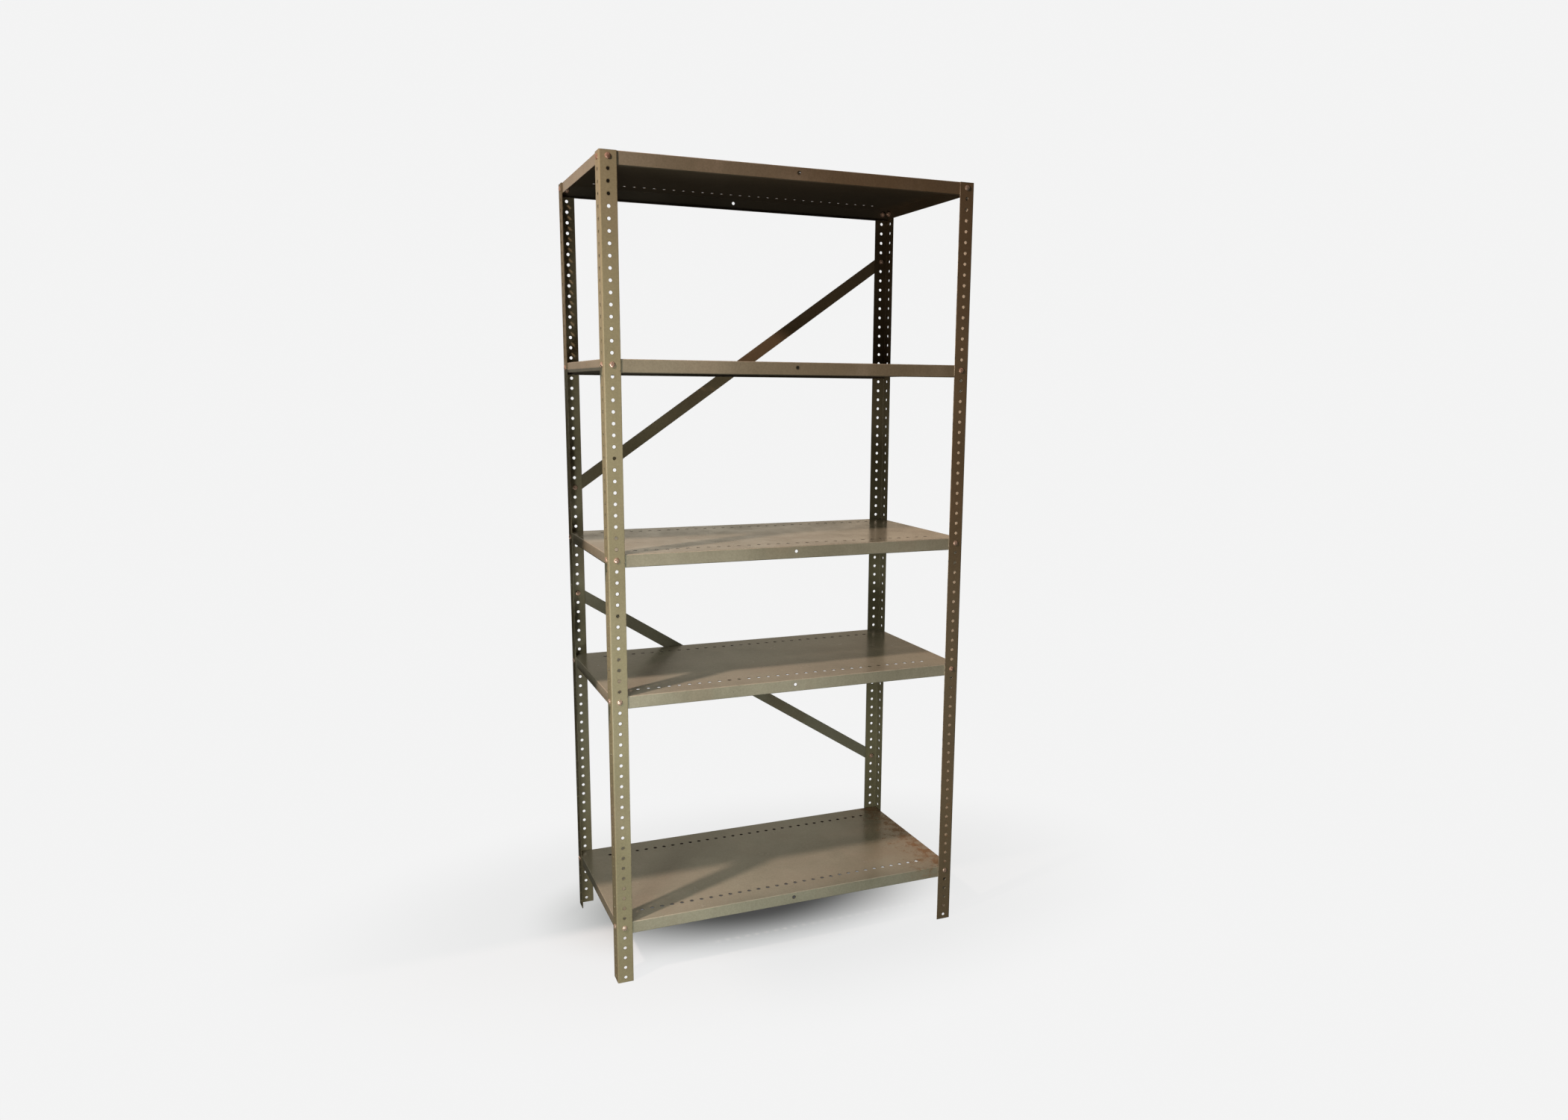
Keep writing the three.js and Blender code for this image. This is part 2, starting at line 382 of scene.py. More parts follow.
def sheet_piece(name, pattern, surface, thickness, rim, place):
    """Gives a flat pattern its folds, its thickness, round edges and smooth, exact normals.
    surface(u, v, depth) is a point of the folded sheet, depth below its outer face."""
    flat, tris, edge = pattern
    u, v = flat[:, 0], flat[:, 1]
    normal, turned = outer_normals(surface, u, v, thickness)
    if turned:
        tris = tris[:, ::-1]
    rims = rim_edges(tris)
    on_rim = np.zeros(len(flat), bool)
    on_rim[rims.ravel()] = True
    depth = np.where(on_rim, rim, 0.0)
    outer = surface(u, v, depth)
    inner = surface(u, v, thickness - depth)

    wall, at_a, at_b = wall_normals(outer, normal, rims)
    outer_normal = np.where(on_rim[:, None], wall, normal)
    inner_normal = np.where(on_rim[:, None], wall, -normal)
    normals = np.concatenate([
        outer_normal[tris].reshape(-1, 3),
        inner_normal[tris[:, ::-1]].reshape(-1, 3),
        np.stack([at_b, at_a, at_a, at_b], 1).reshape(-1, 3),
    ])
    a, b = rims[:, 0], rims[:, 1]
    count = len(flat)
    back = tris[:, ::-1] + count
    sides = np.stack([b, a, a + count, b + count], 1)
    faces = tris.tolist() + back.tolist() + sides.tolist()
    turn = np.array(place.to_3x3())
    points = np.concatenate([outer, inner]) @ turn.T + np.array(place.translation)
    return put_object(name, sheet_mesh(name, points, faces, normals @ turn.T, edge))


def finish_piece(piece, node, material):
    piece.data.materials.clear()
    piece.data.materials.append(material)
    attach(piece, "root")
    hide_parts(node)


# ---------------------------------------------------------------- posts

POST_FLAT = FLANGE - POST_BEND
POST_ARC = POST_BEND * QUARTER


def post_surface(u, v, depth):
    """The angle, its corner at the origin and its flanges along +X and +Y."""
    angle = np.clip((u - POST_FLAT) / POST_ARC, 0, 1) * QUARTER
    radius = POST_BEND - depth
    x = POST_BEND - radius * np.sin(angle) + np.maximum(POST_FLAT - u, 0)
    y = POST_BEND - radius * np.cos(angle) + np.maximum(u - POST_FLAT - POST_ARC, 0)
    return np.stack([x, y, v], -1)


def post_pattern():
    """The angle opened out flat, with both columns of holes and creases along its bend."""
    width = 2 * POST_FLAT + POST_ARC
    columns = (FLANGE - HOLE_INSET, width - FLANGE + HOLE_INSET)
    heights = [INCH * (i + 0.5) for i in range(round(HEIGHT / INCH))]
    outline = [(0, 0), (width, 0), (width, HEIGHT), (0, HEIGHT)]
    holes = [(column, z, HOLE_RADIUS) for z in heights for column in columns]
    bends = [POST_FLAT + POST_ARC * i / POST_BEND_STEPS for i in range(POST_BEND_STEPS + 1)]
    lines = [((u, 0), (u, HEIGHT)) for u in bends]
    lines += [((0, z + INCH / 2), (width, z + INCH / 2)) for z in heights[:-1]]
    return flat_pattern(outline, holes, POST_HOLE_SIDES, lines, THICK_RIM, THICK_WEAR)


def build_posts(materials):
    pattern = post_pattern()
    for corner, (x, y, turn) in CORNERS.items():
        place = Matrix.Translation((x * HALF_WIDTH, y * HALF_DEPTH, 0))
        place = place @ Matrix.Rotation(turn, 4, "Z")
        piece = sheet_piece(f"{corner}_angle", pattern, post_surface, POST_SHEET, THICK_RIM, place)
        finish_piece(piece, f"{corner}_post", materials[corner])


# ---------------------------------------------------------------- shelves

FOLD = SHELF_BEND * QUARTER
FLAT_X = SHELF_X - SHELF_BEND
FLAT_Y = SHELF_Y - SHELF_BEND
FALL_SIDE = SHELF_SIDE_FLANGE - SHELF_BEND
FALL_FRONT = SHELF_FLANGE - 2 * SHELF_BEND
LIP_FLAT = SHELF_LIP - SHELF_BEND


def fold_down(s, depth, flat, fall):
    """How far out and how far down a point is, s from the middle, past one or two bends."""
    first = np.clip((s - flat) / FOLD, 0, 1) * QUARTER
    radius = SHELF_BEND - depth
    drop = np.clip(s - flat - FOLD, 0, fall)
    second = np.clip((s - flat - FOLD - fall) / FOLD, 0, 1) * QUARTER
    back = np.maximum(s - flat - 2 * FOLD - fall, 0)
    out = np.where(second > 0, flat + radius * np.cos(second) - back,
                   np.minimum(s, flat) + radius * np.sin(first))
    down = np.where(second > 0, SHELF_BEND + fall + radius * np.sin(second),
                    SHELF_BEND - radius * np.cos(first) + drop)
    return out, down


def shelf_surface(u, v, depth):
    """The folded shelf, its deck's top at z = 0, with its sag and ripple."""
    on_end = abs(u) > FLAT_X
    on_front = abs(v) > FLAT_Y
    out_x, down_x = fold_down(abs(u), depth, FLAT_X, 1.0)
    out_y, down_y = fold_down(abs(v), depth, FLAT_Y, FALL_FRONT)
    x = np.where(on_end, np.sign(u) * out_x, u)
    y = np.where(on_front, np.sign(v) * out_y, v)
    down = np.where(on_front, down_y, np.where(on_end, down_x, depth))
    inside = np.clip(1 - (u / FLAT_X) ** 2, 0, 1) * np.clip(1 - (v / FLAT_Y) ** 2, 0, 1)
    waves = (np.sin(u * LONG_WAVE[0] + v * LONG_WAVE[1])
             * np.cos(v * SHORT_WAVE[1] + u * SHORT_WAVE[0]))
    ripple = 1 - RIPPLE + RIPPLE * waves
    return np.stack([x, y, -down - DECK_SAG * inside * ripple], -1)


def shelf_outline():
    """The shelf opened out flat: the long flanges with their lips, and the short end flanges."""
    end = FLAT_X + FOLD + FALL_SIDE
    front = FLAT_Y + 2 * FOLD + FALL_FRONT + LIP_FLAT
    return [
        (-FLAT_X, -front), (FLAT_X, -front), (FLAT_X, -FLAT_Y), (end, -FLAT_Y),
        (end, FLAT_Y), (FLAT_X, FLAT_Y), (FLAT_X, front), (-FLAT_X, front),
        (-FLAT_X, FLAT_Y), (-end, FLAT_Y), (-end, -FLAT_Y), (-FLAT_X, -FLAT_Y),
    ]


def shelf_holes():
    """The deck's two rows, each long flange's middle hole, and the bolt holes."""
    level = FOLD + DECK_ABOVE_BOLT - SHELF_BEND
    holes = []
    for side in (-1, 1):
        row = side * (HALF_DEPTH - ROW_INSET)
        holes += [(INCH * (i - ROW_HOLES // 2), row, ROW_HOLE_RADIUS) for i in range(ROW_HOLES)]
        holes.append((0, side * (FLAT_Y + level), HOLE_RADIUS))
        for other in (-1, 1):
            holes.append((other * (HALF_WIDTH - HOLE_INSET), side * (FLAT_Y + level), HOLE_RADIUS))
            holes.append((side * (FLAT_X + level), other * (HALF_DEPTH - HOLE_INSET), HOLE_RADIUS))
    return holes


def shelf_creases():
    """Lines along every bend, and a grid that lets the deck sag."""
    lines = []
    for side in (-1, 1):
        for step in range(SHELF_BEND_STEPS + 1):
            offset = FOLD * step / SHELF_BEND_STEPS
            x = side * (FLAT_X + offset)
            lines.append(((x, -FLAT_Y), (x, FLAT_Y)))
            for base in (FLAT_Y, FLAT_Y + FOLD + FALL_FRONT):
                y = side * (base + offset)
                lines.append(((-FLAT_X, y), (FLAT_X, y)))
    for i in range(1, DECK_CELLS_X):
        x = FLAT_X * (2 * i / DECK_CELLS_X - 1) + DECK_CELL_SHIFT
        lines.append(((x, -FLAT_Y), (x, FLAT_Y)))
    for i in range(1, DECK_CELLS_Y):
        y = FLAT_Y * (2 * i / DECK_CELLS_Y - 1)
        lines.append(((-FLAT_X, y), (FLAT_X, y)))
    return lines


def shelf_pattern():
    return flat_pattern(shelf_outline(), shelf_holes(), SHELF_HOLE_SIDES, shelf_creases(),
                        THIN_RIM, THIN_WEAR)


def build_shelves(material):
    """Five shelves from one pattern, every other one turned end for end."""
    pattern = shelf_pattern()
    for level in range(1, 6):
        node = f"shelf_{level}"
        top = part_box(node)[1].z
        flip = Matrix.Rotation(math.pi * (level % 2), 4, "Z")
        place = Matrix.Translation((0, 0, top)) @ flip
        piece = sheet_piece(f"deck_{level}", pattern, shelf_surface, SHELF_SHEET, THIN_RIM, place)
        finish_piece(piece, node, material)


# ---------------------------------------------------------------- braces

def brace_pattern(span):
    """A strap with round ends and a hole at each, span apart, cut across so that it can bow."""
    half, radius = span / 2, BRACE_WIDTH / 2
    turns = [math.pi * (i / BRACE_END_STEPS - 0.5) for i in range(BRACE_END_STEPS + 1)]
    right = [(half + radius * math.cos(a), radius * math.sin(a)) for a in turns]
    outline = right + [(-x, -y) for x, y in right]
    holes = [(-half, 0, HOLE_RADIUS), (half, 0, HOLE_RADIUS)]
    stops = [half * (2 * i / BRACE_CUTS - 1) for i in range(1, BRACE_CUTS)]
    lines = [((x, -radius), (x, radius)) for x in stops]
    return flat_pattern(outline, holes, BRACE_HOLE_SIDES, lines, THICK_RIM, THICK_WEAR)


def build_braces(material):
    """The upper strap rises to the right and the lower one falls, each to the size of its box."""
    for name, rising in (("upper", 1), ("lower", -1)):
        low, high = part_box(f"{name}_brace")
        reach = 2 * (HALF_WIDTH - HOLE_INSET)
        rise = high.z - low.z - BRACE_WIDTH
        span = math.hypot(reach, rise)

        def surface(u, v, depth):
            bow = BRACE_BOW * np.clip(1 - (2 * u / span) ** 2, 0, 1)
            return np.stack([u, -depth - bow, v], -1)

        tilt = Matrix.Rotation(-rising * math.atan2(rise, reach), 4, "Y")
        middle = (low + high) / 2
        place = Matrix.Translation((middle.x, high.y, middle.z)) @ tilt
        pattern = brace_pattern(span)
        piece = sheet_piece(f"{name}_strap", pattern, surface, BRACE_SHEET, THICK_RIM, place)
        finish_piece(piece, f"{name}_brace", material)


# ---------------------------------------------------------------- bolts

def lathe(profile, sides):
    """A closed solid of revolution about Y from (radius, y) points; the ends are on the axis."""
    points, faces = [], []
    rings = profile[1:-1]
    for r, y in rings:
        for i in range(sides):
            angle = 2 * math.pi * i / sides
            points.append((r * math.cos(angle), y, r * math.sin(angle)))
    for k in range(len(rings) - 1):
        for i in range(sides):
            j = (i + 1) % sides
            faces.append((k * sides + i, k * sides + j, (k + 1) * sides + j, (k + 1) * sides + i))
    first, last = len(points), len(points) + 1
    points += [(0, profile[0][1], 0), (0, profile[-1][1], 0)]
    tail = (len(rings) - 1) * sides
    for i in range(sides):
        j = (i + 1) % sides
        faces.append((first, j, i))
        faces.append((last, tail + i, tail + j))
    return points, faces


def ring_solid(profile, sides, radius_at):
    """A closed ring about Y: the profile's last point joins its first, and
    radius_at(radius, y, angle) gives each point its radius and height."""
    points, faces = [], []
    for r, y in profile:
        for i in range(sides):
            angle = 2 * math.pi * i / sides
            radius, height = radius_at(r, y, angle)
            points.append((radius * math.cos(angle), height, radius * math.sin(angle)))
    count = len(profile)
    for k in range(count):
        n = (k + 1) % count
        for i in range(sides):
            j = (i + 1) % sides
            faces.append((k * sides + i, k * sides + j, n * sides + j, n * sides + i))
    return points, faces


def mesh_object(name, points, faces):
    mesh = bpy.data.meshes.new(name)
    mesh.from_pydata(points, [], faces)
    return put_object(name, mesh)


def baked_mesh(ob):
    """The object's mesh with its modifiers applied; the object itself goes."""
    graph = bpy.context.evaluated_depsgraph_get()
    mesh = bpy.data.meshes.new_from_object(ob.evaluated_get(graph))
    bpy.data.objects.remove(ob)
    return mesh


def screw_profile(grip):
    """A domed head, the plain shank through the grip, then threads to a chamfered end."""
    profile = [(0, -HEAD_HEIGHT)]
    for i in range(1, DOME_STEPS):
        t = i / DOME_STEPS * QUARTER
        rise = (HEAD_HEIGHT - DOME_BASE) * math.cos(t)
        profile.append((HEAD_RADIUS * math.sin(t), -DOME_BASE - rise))
    profile += [(HEAD_RADIUS, -EDGE_TOP), (HEAD_RADIUS, -EDGE_FOOT), (HEAD_RADIUS - HEAD_CHAMFER, 0)]
    shoulder = SHANK_RADIUS + SHOULDER_EXTRA
    profile += [(shoulder, 0), (shoulder, SHOULDER_LENGTH)]
    y = grip
    while y < SHANK_LENGTH - LAST_THREAD * THREAD_PITCH:
        profile += [(SHANK_RADIUS, y + CREST_START * THREAD_PITCH),
                    (SHANK_RADIUS, y + CREST_END * THREAD_PITCH),
                    (SHANK_RADIUS - THREAD_DEPTH, y + ROOT * THREAD_PITCH)]
        y += THREAD_PITCH
    profile += [(SHANK_RADIUS, y + CREST_START * THREAD_PITCH),
                (SHANK_RADIUS - TIP_CHAMFER, SHANK_LENGTH), (0, SHANK_LENGTH)]
    return profile


def hexagon_radius(r, y, angle):
    """Turns an outer ring's circle into a hexagon whose corners are chamfered by the height."""
    if r <= NUT_FLAT:
        return r, y
    around = (angle + math.pi / 6) % (math.pi / 3) - math.pi / 6
    corner = NUT_FLAT / math.cos(around)
    cut = (corner - NUT_FLAT) * CORNER_CHAMFER
    middle = NUT_HEIGHT / 2
    return corner, middle + math.copysign(max(abs(y - middle) - cut, 0), y - middle)


def nut_solid(grip):
    """A hexagon nut with a chamfered bore, its near face at y = grip."""
    bore = SHANK_RADIUS + BORE_GAP
    rim = NUT_FLAT - RIM_INSET
    outer = NUT_FLAT + RIM_STEP
    profile = [
        (bore, BORE_MOUTH), (bore + BORE_CHAMFER, 0), (rim, 0), (outer, RIM_DROP),
        (outer, NUT_HEIGHT - RIM_DROP), (rim, NUT_HEIGHT), (bore + BORE_CHAMFER, NUT_HEIGHT),
        (bore, NUT_HEIGHT - BORE_MOUTH),
    ]
    points, faces = ring_solid(profile, NUT_SIDES, hexagon_radius)
    return [(x, y + grip, z) for x, y, z in points], faces


def slot_cutter():
    """A box across the top of a head, as wide and as deep as its slot."""
    x, y, z = HEAD_RADIUS * SLOT_REACH, SLOT_DEPTH, SLOT_WIDTH / 2
    corners = [(sx * x, (y if deep else -y) - HEAD_HEIGHT, sz * z)
               for deep in (0, 1) for sx, sz in ((-1, -1), (1, -1), (1, 1), (-1, 1))]
    return mesh_object("slot_cutter", corners, [
        (0, 1, 2, 3), (7, 6, 5, 4), (0, 4, 5, 1), (1, 5, 6, 2), (2, 6, 7, 3), (3, 7, 4, 0)])


def slotted_mesh(screw):
    """The screw's mesh with its slot cut and its sharp edges softened; the screw itself goes."""
    cutter = slot_cutter()
    for ob in (screw, cutter):
        outward_faces(ob.data)
    cut = screw.modifiers.new("slot", "BOOLEAN")
    cut.object = cutter
    cut.solver = "EXACT"
    soft = screw.modifiers.new("edges", "BEVEL")
    soft.width = SOFT_EDGE
    soft.segments = 2
    soft.limit_method = "ANGLE"
    soft.angle_limit = math.radians(BEVEL_ANGLE)
    mesh = baked_mesh(screw)
    bpy.data.objects.remove(cutter)
    return mesh


def joined_mesh(name, first, second):
    """Two meshes as one, shaded smooth up to their sharp edges."""
    mesh = bpy.data.meshes.new(name)
    count = len(first.vertices)
    mesh.from_pydata(
        [v.co[:] for v in first.vertices] + [v.co[:] for v in second.vertices], [],
        [tuple(p.vertices) for p in first.polygons]
        + [tuple(i + count for i in p.vertices) for p in second.polygons])
    mesh.polygons.foreach_set("use_smooth", [True] * len(mesh.polygons))
    mesh.set_sharp_from_angle(angle=math.radians(SHARP_ANGLE))
    return mesh


def bolt_mesh(name, grip):
    """A slotted bolt with its nut, its head towards -Y and the face under the head at y = 0."""
    shaped = slotted_mesh(mesh_object(name, *lathe(screw_profile(grip), SCREW_SIDES)))
    nut = mesh_object("nut", *nut_solid(grip))
    outward_faces(nut.data)
    joined = joined_mesh(name, shaped, nut.data)
    bpy.data.objects.remove(nut)
    return joined


def outward_faces(mesh):
    """Turns every face of a closed mesh outwards."""
    shape = bmesh.new()
    shape.from_mesh(mesh)
    bmesh.ops.recalc_face_normals(shape, faces=shape.faces)
    shape.to_mesh(mesh)
    shape.free()


def bolt_places():
    """Each bolt's node, the middle of the face under its head, and the way its head points."""
    places = []
    for node in sorted(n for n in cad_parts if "bolt" in n):
        low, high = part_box(node)
        size = high - low
        middle = (low + high) / 2
        axis = max(range(3), key=lambda k: size[k])
        way = Vector((0, 0, 0))
        way[axis] = 1 if middle[axis] > 0 else -1
        seat = middle.copy()
        seat[axis] = (high if way[axis] > 0 else low)[axis] - way[axis] * (HEAD_HEIGHT + SEAT_GAP)
        places.append((node, seat, way))
    return places


def build_bolts(material):
    """A screw with its nut for every bolt node, with slots turned by chance about upright."""
    shelf_bolt = bolt_mesh("shelf_bolt", SHELF_GRIP)
    brace_bolt = bolt_mesh("brace_bolt", BRACE_GRIP)
    for mesh in (shelf_bolt, brace_bolt):
        mesh.materials.append(material)
    picker = random.Random(SLOT_SEED)
    for node, seat, way in bolt_places():
        mesh = brace_bolt if "brace" in node else shelf_bolt
        piece = put_object(f"{node}_screw", mesh)
        spin = Matrix.Rotation(picker.gauss(QUARTER, SLOT_SPREAD), 4, "Y")
        aim = way.to_track_quat("-Y", "Z").to_matrix().to_4x4()
        piece.matrix_world = Matrix.Translation(seat) @ aim @ spin
        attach(piece, "root")
        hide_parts(node)


# ---------------------------------------------------------------- materials

class Graph:
    """A node tree with short calls for the nodes used here."""

    def __init__(self, owner):
        owner.use_nodes = True
        self.owner = owner
        self.tree = owner.node_tree
        self.shader = self.tree.nodes.get("Principled BSDF")

    def add(self, kind, settings=None, **inputs):
        node = self.tree.nodes.new(kind)
        for key, value in (settings or {}).items():
            setattr(node, key, value)
        for key, value in inputs.items():
            self.put(node.inputs[key.replace("_", " ")], value)
        return node

    def put(self, socket, value):
        if isinstance(value, bpy.types.NodeSocket):
            self.tree.links.new(value, socket)
        else:
            socket.default_value = value

    def place(self):
        """The shaded point in the shared frame."""
        return self.add("ShaderNodeNewGeometry").outputs["Position"]

    def noise(self, scale, detail=3.0, stretch=(1, 1, 1), shift=(0, 0, 0), rough=0.5, warp=0.0):
        spot = self.add("ShaderNodeMapping", Vector=self.place(), Scale=stretch, Location=shift)
        return self.add("ShaderNodeTexNoise", Vector=spot.outputs[0], Scale=scale, Detail=detail,
                        Roughness=rough, Distortion=warp).outputs[0]

    def span(self, value, low, high, start=0.0, end=1.0):
        """Goes smoothly from start to end while the value goes from low to high."""
        node = self.add("ShaderNodeMapRange", {"interpolation_type": "SMOOTHSTEP"}, Value=value)
        ends = {"From Min": low, "From Max": high, "To Min": start, "To Max": end}
        for key, number in ends.items():
            node.inputs[key].default_value = number
        return node.outputs[0]

    def math(self, operation, a, b, clamp=False):
        node = self.add("ShaderNodeMath", {"operation": operation, "use_clamp": clamp})
        self.put(node.inputs[0], a)
        self.put(node.inputs[1], b)
        return node.outputs[0]

    def mix(self, factor, a, b, blend="MIX"):
        node = self.add("ShaderNodeMixRGB", {"blend_type": blend}, Fac=factor)
        self.put(node.inputs[1], a)
        self.put(node.inputs[2], b)
        return node.outputs[0]

    def axis(self, name):
        return self.add("ShaderNodeSeparateXYZ", Vector=self.place()).outputs[name]

    def facing(self, low, high):
        """How far up a face looks, from 0 at low to 1 at high."""
        normal = self.add("ShaderNodeNewGeometry").outputs["Normal"]
        return self.span(self.add("ShaderNodeSeparateXYZ", Vector=normal).outputs["Z"], low, high)

    def inside(self):
        """1 on faces turned towards the origin, the middle of the unit's foot, and 0 on others."""
        outward = self.add("ShaderNodeVectorMath", {"operation": "DOT_PRODUCT"})
        self.put(outward.inputs[0], self.place())
        self.put(outward.inputs[1], self.add("ShaderNodeNewGeometry").outputs["Normal"])
        return self.span(outward.outputs["Value"], 0.0, -0.05)

    def camera_ray(self):
        return self.add("ShaderNodeLightPath").outputs["Is Camera Ray"]

    def mixed(self, factor, first, second):
        node = self.add("ShaderNodeMixShader", Fac=factor)
        self.put(node.inputs[1], first)
        self.put(node.inputs[2], second)
        return node.outputs[0]

    def surface(self, shader):
        target = next(n for n in self.tree.nodes if n.type.startswith("OUTPUT"))
        self.tree.links.new(shader, target.inputs["Surface"])

    def edge(self):
        return self.add("ShaderNodeAttribute", {"attribute_name": "edge"}).outputs["Fac"]

    def bump(self, height, distance, below=None):
        node = self.add("ShaderNodeBump", Height=height, Distance=distance)
        if below is not None:
            self.put(node.inputs["Normal"], below)
        return node.outputs[0]


def paint_colour(g, light, dark, low, inner, high_shade):
    """The paint's two tones, and where given: a paler one low down, painted for the whiter light
    there; another on its inside; and painted shade, darker and browner high up and towards the right.
    """
    tone = g.span(g.noise(3.1, 4, shift=(3.1, 0.7, 1.9)), 0.36, 0.66)
    colour = g.mix(tone, light, dark)
    # Paler and greyer low down: painted light, for the whiter light there.
    if low is not None:
        colour = g.mix(g.span(g.axis("Z"), 0.7, 1.2, 0.9, 0.0), colour, low)
    if inner is not None:
        colour = g.mix(g.inside(), colour, inner)
    # Painted shade: darker and browner high up, and more so towards the right.
    if high_shade is not None:
        spread = g.span(g.axis("X"), -0.45, 0.2, 0.4, 0.97)
        colour = g.mix(g.math("MULTIPLY", g.span(g.axis("Z"), 0.8, 1.7), spread), colour, high_shade)
    return colour


def faded(g, colour, warm):
    """Warm patches, faint streaks down the sheet and a fine mottle."""
    patch = g.span(g.noise(6.5, 5, stretch=(1, 1, 0.6), shift=(7, 2, 5), warp=0.6), 0.5, 0.72)
    colour = g.mix(g.math("MULTIPLY", patch, 0.4), colour, warm)
    streak = g.span(g.noise(60, 3, stretch=(1, 1, 0.05)), 0.3, 0.75, 0.975, 1.02)
    mottle = g.span(g.noise(240, 4, rough=0.65), 0.3, 0.7, 0.92, 1.08)
    shade = g.math("MULTIPLY", streak, mottle)
    shade = g.add("ShaderNodeCombineXYZ", X=shade, Y=shade, Z=shade).outputs[0]
    return g.mix(1.0, colour, shade, "MULTIPLY")


def soiled_and_shaded(g, colour, rim_darkness):
    """Grime and painted shade along the edges and round the holes, and pale scuffs in a few places.
    """
    # Dark rims: grime, and on the decks, where they are darkest, also painted shade that makes the
    # holes read dark.
    dark_rim = g.span(g.noise(55, 6, rough=0.7), 0.35, 0.7, *rim_darkness)
    colour = g.mix(g.math("MULTIPLY", dark_rim, g.edge()), colour, GRIME_AND_SHADE)
    scuff = g.span(g.noise(26, 8, stretch=(1, 1, 2.4), rough=0.75, warp=1.2), 0.6, 0.72)
    scuff = g.math("MULTIPLY", scuff, g.span(g.noise(4, 2, shift=(1, 8, 3)), 0.45, 0.6))
    return g.mix(g.math("MULTIPLY", scuff, 0.25), colour, SCUFFED)


def deck_dust_wear_and_shade(g, colour, rough, dust):
    """Dust on what lies flat, rubbed wear and a painted highlight on the bends, and painted shade on
    the undersides and insides, darker to the rear.
    """
    film = g.span(g.noise(7, 5, rough=0.55, warp=0.8), 0.3, 0.7, 0.1, 0.8)
    film = g.math("MULTIPLY", g.facing(0.5, 0.95), film)
    colour = g.mix(g.math("MULTIPLY", film, 0.6), colour, dust)
    rough = g.math("ADD", rough, g.math("MULTIPLY", film, 0.05))
    # Rubbed wear and a painted highlight along the bends.
    bend = g.math("MULTIPLY", g.facing(0.15, 0.45), g.facing(0.98, 0.85))
    rub_and_sheen = g.span(g.noise(45, 5, rough=0.6), 0.3, 0.6, 0.2, 0.75)
    colour = g.mix(g.math("MULTIPLY", bend, rub_and_sheen), colour, BEND_WEAR_AND_SHEEN)
    # Painted shade on the undersides and insides, darker to the rear.
    inside = g.inside()
    underside_shade = g.math("MULTIPLY", inside, g.span(g.axis("Y"), -0.2, 0.06, 0.5, 0.94))
    colour = g.mix(underside_shade, colour, GRIME_AND_SHADE)
    return colour, g.math("ADD", rough, g.math("MULTIPLY", inside, 0.4))


def chipped(g):
    """Where the paint is gone: more by the edges, with a few flecks anywhere."""
    chip = g.math("ADD", g.math("MULTIPLY", g.edge(), 0.15), g.noise(170, 8, rough=0.6))
    chip = g.span(chip, 0.72, 0.745)
    fleck = g.span(g.noise(95, 6, shift=(9, 9, 2), rough=0.62), 0.74, 0.755)
    return g.math("MAXIMUM", chip, fleck)


def rusted(g, colour, place):
    """The colour with rust spots and stains, most where place is high, and the spots alone."""
    spots = g.noise(38, 9, rough=0.68, shift=(2, 5, 8))
    rust = g.math("ADD", spots, g.math("MULTIPLY", place, 0.26))
    rust = g.math("ADD", rust, g.math("MULTIPLY", g.edge(), 0.04))
    rust = g.span(rust, 0.68, 0.84)
    oxide = g.mix(g.span(g.noise(210, 6, rough=0.7), 0.35, 0.65), RUST, RUST_LIGHT)
    colour = g.mix(g.math("MULTIPLY", rust, 0.7), colour, oxide)
    stain = g.math("MULTIPLY", g.span(g.noise(11, 5, warp=0.5), 0.3, 0.7, 0.4, 1.0), place)
    return g.mix(g.math("MULTIPLY", stain, 0.45), colour, RUST_LIGHT), rust


def paint_bump(g, chip, rust):
    """The paint's peel, with pits where it rusts and a step down where it is chipped."""
    peel = g.bump(g.noise(420, 3, rough=0.6), PEEL_DEPTH)
    pits = g.math("MULTIPLY", g.noise(330, 7, rough=0.75), rust)
    pits = g.math("SUBTRACT", pits, g.math("MULTIPLY", chip, 0.5))
    return g.bump(pits, PIT_DEPTH, peel)


def enamel(name, light, dark, warm, rust_place, high_shade=None, dust=None, low=None, inner=None,
           gloss=(0.3, 0.45), rim_darkness=(0.0, 0.55)):
    """Old semi-gloss enamel on sheet steel: faded, scuffed and chipped, with grime and painted shade
    at its edges, and painted light and shade where given.
    """
    g = Graph(bpy.data.materials.new(name))
    colour = paint_colour(g, light, dark, low, inner, high_shade)
    colour = soiled_and_shaded(g, faded(g, colour, warm), rim_darkness)
    rough = g.span(g.noise(14, 6, rough=0.6, shift=(4, 4, 4)), 0.3, 0.7, *gloss)
    if dust is not None:
        colour, rough = deck_dust_wear_and_shade(g, colour, rough, dust)
    chip = chipped(g)
    colour, rust = rusted(g, g.mix(chip, colour, STEEL), rust_place(g))
    rough = g.math("ADD", rough, g.math("MULTIPLY", rust, 0.35), clamp=True)
    g.put(g.shader.inputs["Base Color"], colour)
    g.put(g.shader.inputs["Roughness"], rough)
    g.put(g.shader.inputs["Metallic"], g.math("MULTIPLY", chip, 0.7))
    g.put(g.shader.inputs["Normal"], paint_bump(g, chip, rust))
    return g.owner


def post_rust(g):
    """Posts rust a little at their feet."""
    return g.span(g.axis("Z"), 0.0, 0.12, 0.35, 0.0)


def right_post_rust(g):
    """The front right post rusts all over, and most towards its foot."""
    return g.span(g.axis("Z"), 0.0, 0.9, 0.4, 0.12)


def deck_rust(g):
    """Decks rust at their ends, and the lowest deck's right end most."""
    ends = g.span(g.math("ABSOLUTE", g.axis("X"), 0.0), 0.40, 0.455)
    right = g.span(g.axis("X"), 0.27, 0.455)
    low = g.span(g.axis("Z"), 0.1, 0.8, 1.0, 0.1)
    return g.math("ADD", g.math("MULTIPLY", ends, 0.2), g.math("MULTIPLY", right, low), clamp=True)


